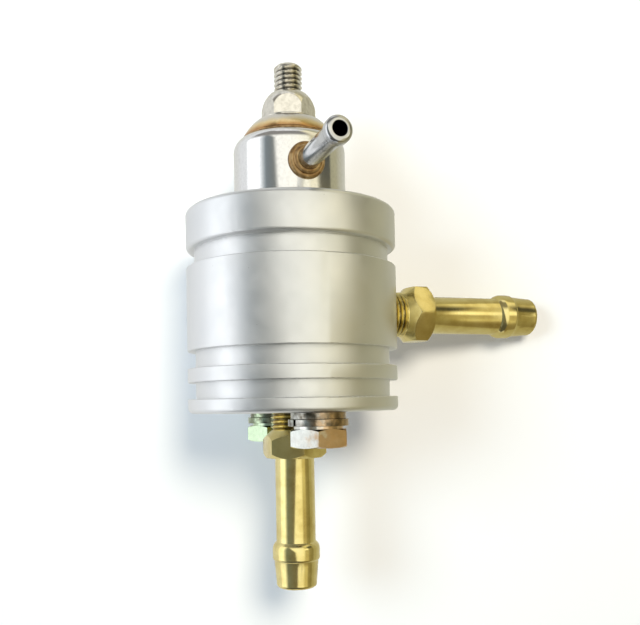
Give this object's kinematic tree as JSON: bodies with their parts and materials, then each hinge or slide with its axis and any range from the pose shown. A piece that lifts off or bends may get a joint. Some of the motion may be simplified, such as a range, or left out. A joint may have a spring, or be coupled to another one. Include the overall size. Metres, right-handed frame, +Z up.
{
  "type": "fuel pressure regulator",
  "caption": "Adjustable bypass fuel pressure regulator: turned aluminium body, plated spring can with locked adjuster and vacuum nipple, brass hose tails and foot bolts.",
  "frame": {"origin": "centre of the foot's underside, on the axis of the return fitting", "axes": "+Z up the axis to the adjuster, +X out of the inlet fitting, -Y out of the vacuum nipple"},
  "size_m": [0.081, 0.0532, 0.1113],
  "materials": {
    "satin_aluminium": "bead blasted and clear anodised, satin",
    "plated_can": "bright nickel plate with fine mottling",
    "tinted_steel": "plated steel with copper and gold heat tint",
    "copper_braze": "copper braze, glossy",
    "bright_zinc": "bright zinc plate",
    "grey_steel": "drawn grey steel, polished",
    "brass": "turned brass, bright",
    "yellow_zinc": "zinc plate with yellow, green and pink passivation",
    "spring_steel": "oiled spring steel",
    "diaphragm_rubber": "fabric-reinforced rubber, matte"
  },
  "bodies": {
    "regulator": {"housing": "satin_aluminium", "clamp_ring": "satin_aluminium", "spring_can": "plated_can", "adjuster_boss": "tinted_steel", "boss_braze": "copper_braze", "vacuum_nipple": "grey_steel", "nipple_braze": "copper_braze", "inlet_fitting": "brass", "return_fitting": "brass", "front_bolt": "yellow_zinc", "rear_bolt": "yellow_zinc", "front_spring_washer": "yellow_zinc", "rear_spring_washer": "yellow_zinc", "front_flat_washer": "yellow_zinc", "rear_flat_washer": "yellow_zinc", "pressure_spring": "spring_steel", "diaphragm": "diaphragm_rubber", "valve_seat": "brass"},
    "valve": {"valve_disc": "grey_steel", "lower_spring_seat": "grey_steel"},
    "spring_pusher": {"upper_spring_seat": "grey_steel"},
    "adjuster": {"adjuster_screw": "bright_zinc"},
    "nut_carrier": {"lock_washer": "bright_zinc"},
    "nut": {"lock_nut": "bright_zinc"}
  },
  "joints": [
    {"name": "valve_lift", "type": "slide", "parent": "regulator", "child": "valve", "axis": [0, 0, 1], "range_m": [0, 0.0006], "stiffness_N_per_m": 500, "deforming": ["pressure_spring", "diaphragm"]},
    {"name": "pusher_travel", "type": "slide", "parent": "regulator", "child": "spring_pusher", "axis": [0, 0, 1], "range_m": [-0.002, 0.002], "deforming": ["pressure_spring"]},
    {"name": "adjuster_turn", "type": "hinge", "parent": "spring_pusher", "child": "adjuster", "pos_m": [0, 0, 0.07], "axis": [0, 0, 1], "range_deg": [-720, 720], "deforming": ["pressure_spring"]},
    {"name": "nut_lift", "type": "slide", "parent": "regulator", "child": "nut_carrier", "axis": [0, 0, 1], "range_m": [0, 0.00075]},
    {"name": "nut_turn", "type": "hinge", "parent": "nut_carrier", "child": "nut", "pos_m": [0, 0, 0.065], "axis": [0, 0, 1], "range_deg": [0, 270]}
  ],
  "couplings": [
    {"joint": "adjuster_turn", "follows": "pusher_travel", "rad_per_m": 6283.2},
    {"joint": "nut_turn", "follows": "nut_lift", "rad_per_m": 6283.2}
  ]
}
